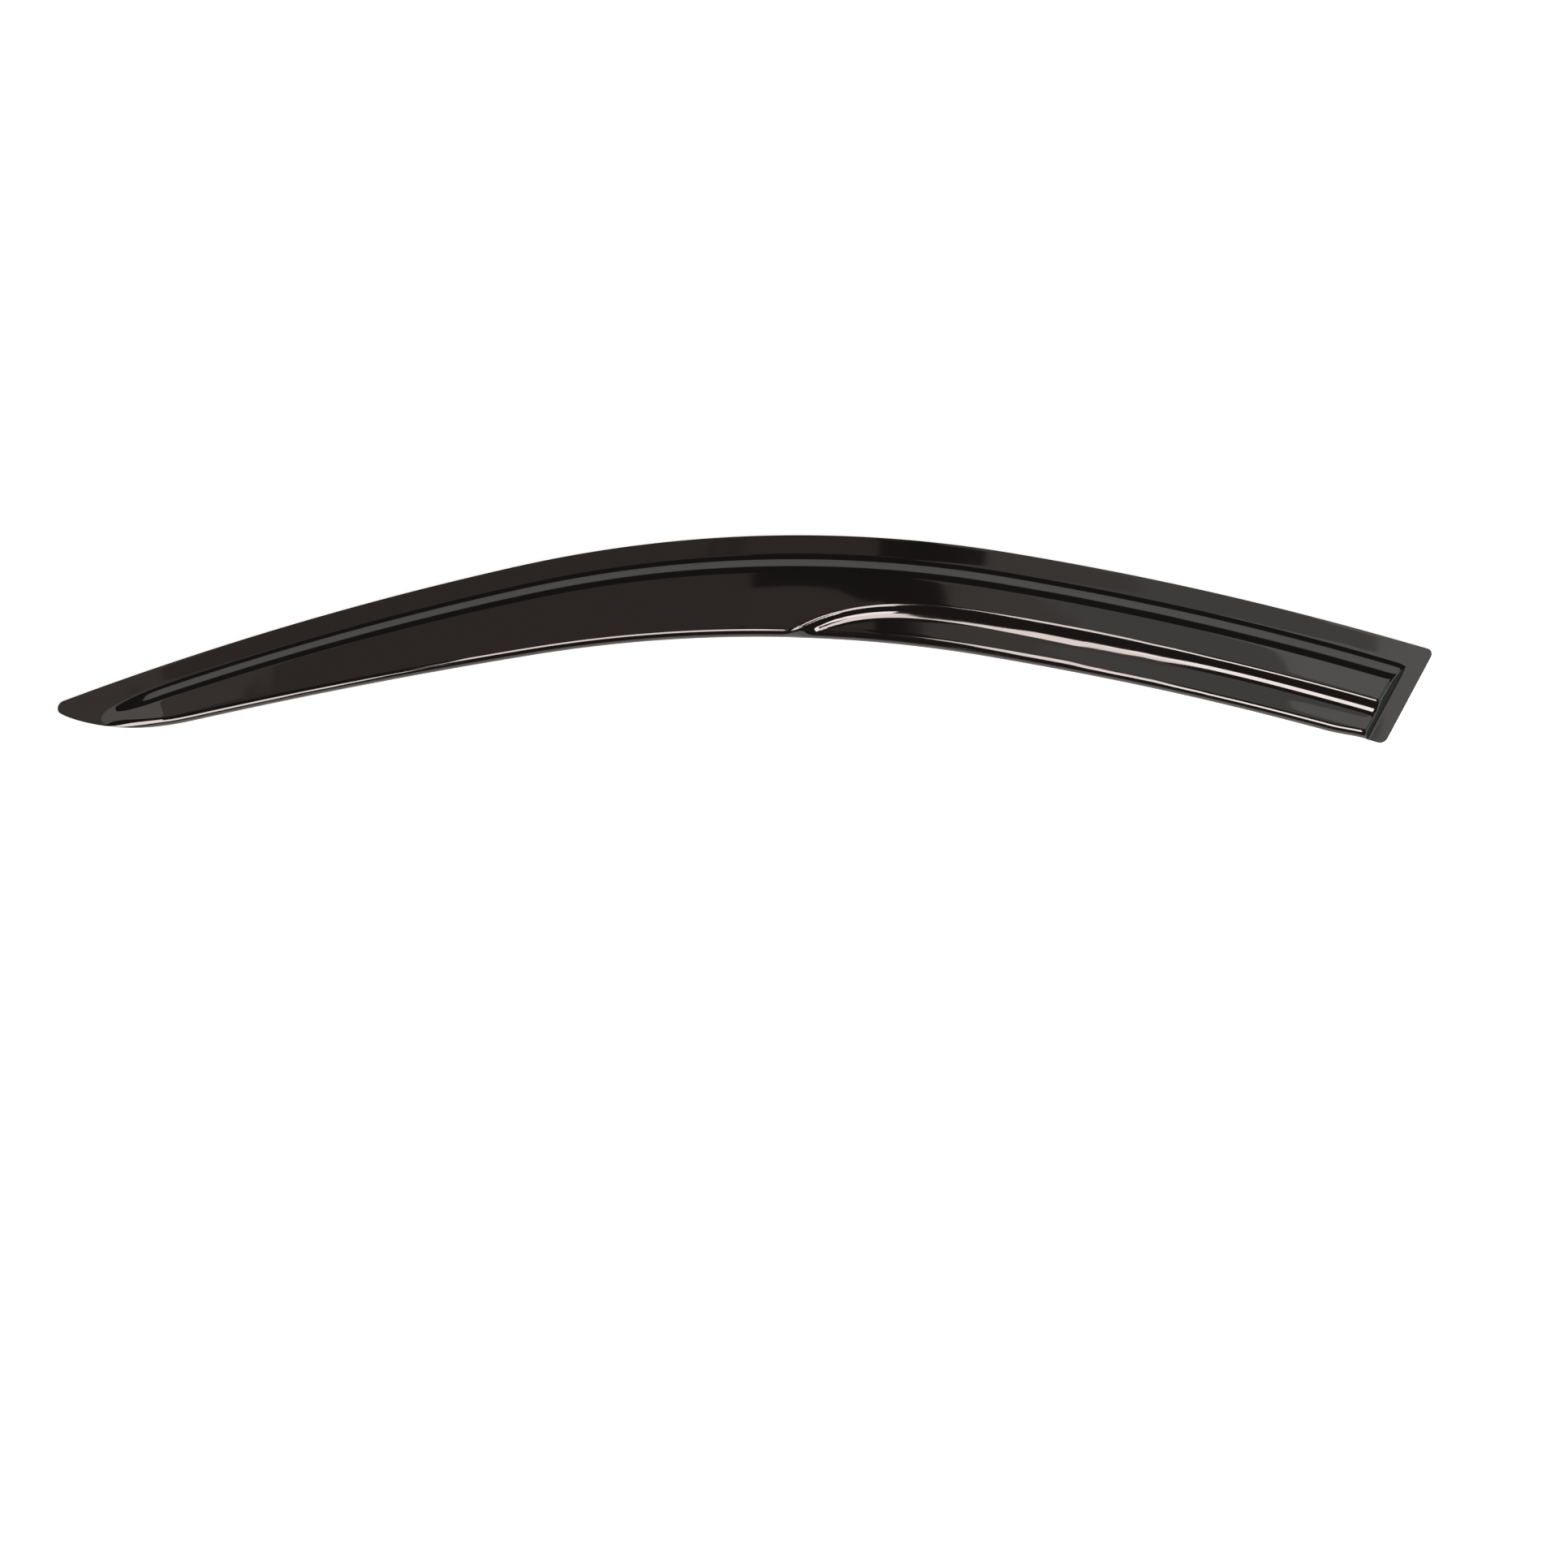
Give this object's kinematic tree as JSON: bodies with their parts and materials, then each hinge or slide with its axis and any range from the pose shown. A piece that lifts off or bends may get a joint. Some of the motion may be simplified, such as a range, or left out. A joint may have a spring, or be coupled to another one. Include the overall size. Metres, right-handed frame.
{
  "type": "window rain deflector",
  "caption": "Long smoked acrylic window rain deflector with a flat taped flange, a raised face with a swept crease, a rolled lower lip and a raked rear end.",
  "frame": {"origin": "middle of the outline, on the plane that the release film lies on", "axes": "+X towards the raked rear end, +Y towards the roof, +Z out of the car"},
  "size_m": [1.05, 0.1586, 0.0193],
  "materials": {
    "smoked_acrylic": "gloss",
    "foam_tape": "matte",
    "release_film": "satin"
  },
  "bodies": {
    "root": {"visor": "smoked_acrylic", "top_tape": "foam_tape", "top_liner": "release_film", "rear_tape": "foam_tape", "rear_liner": "release_film"}
  },
  "joints": []
}
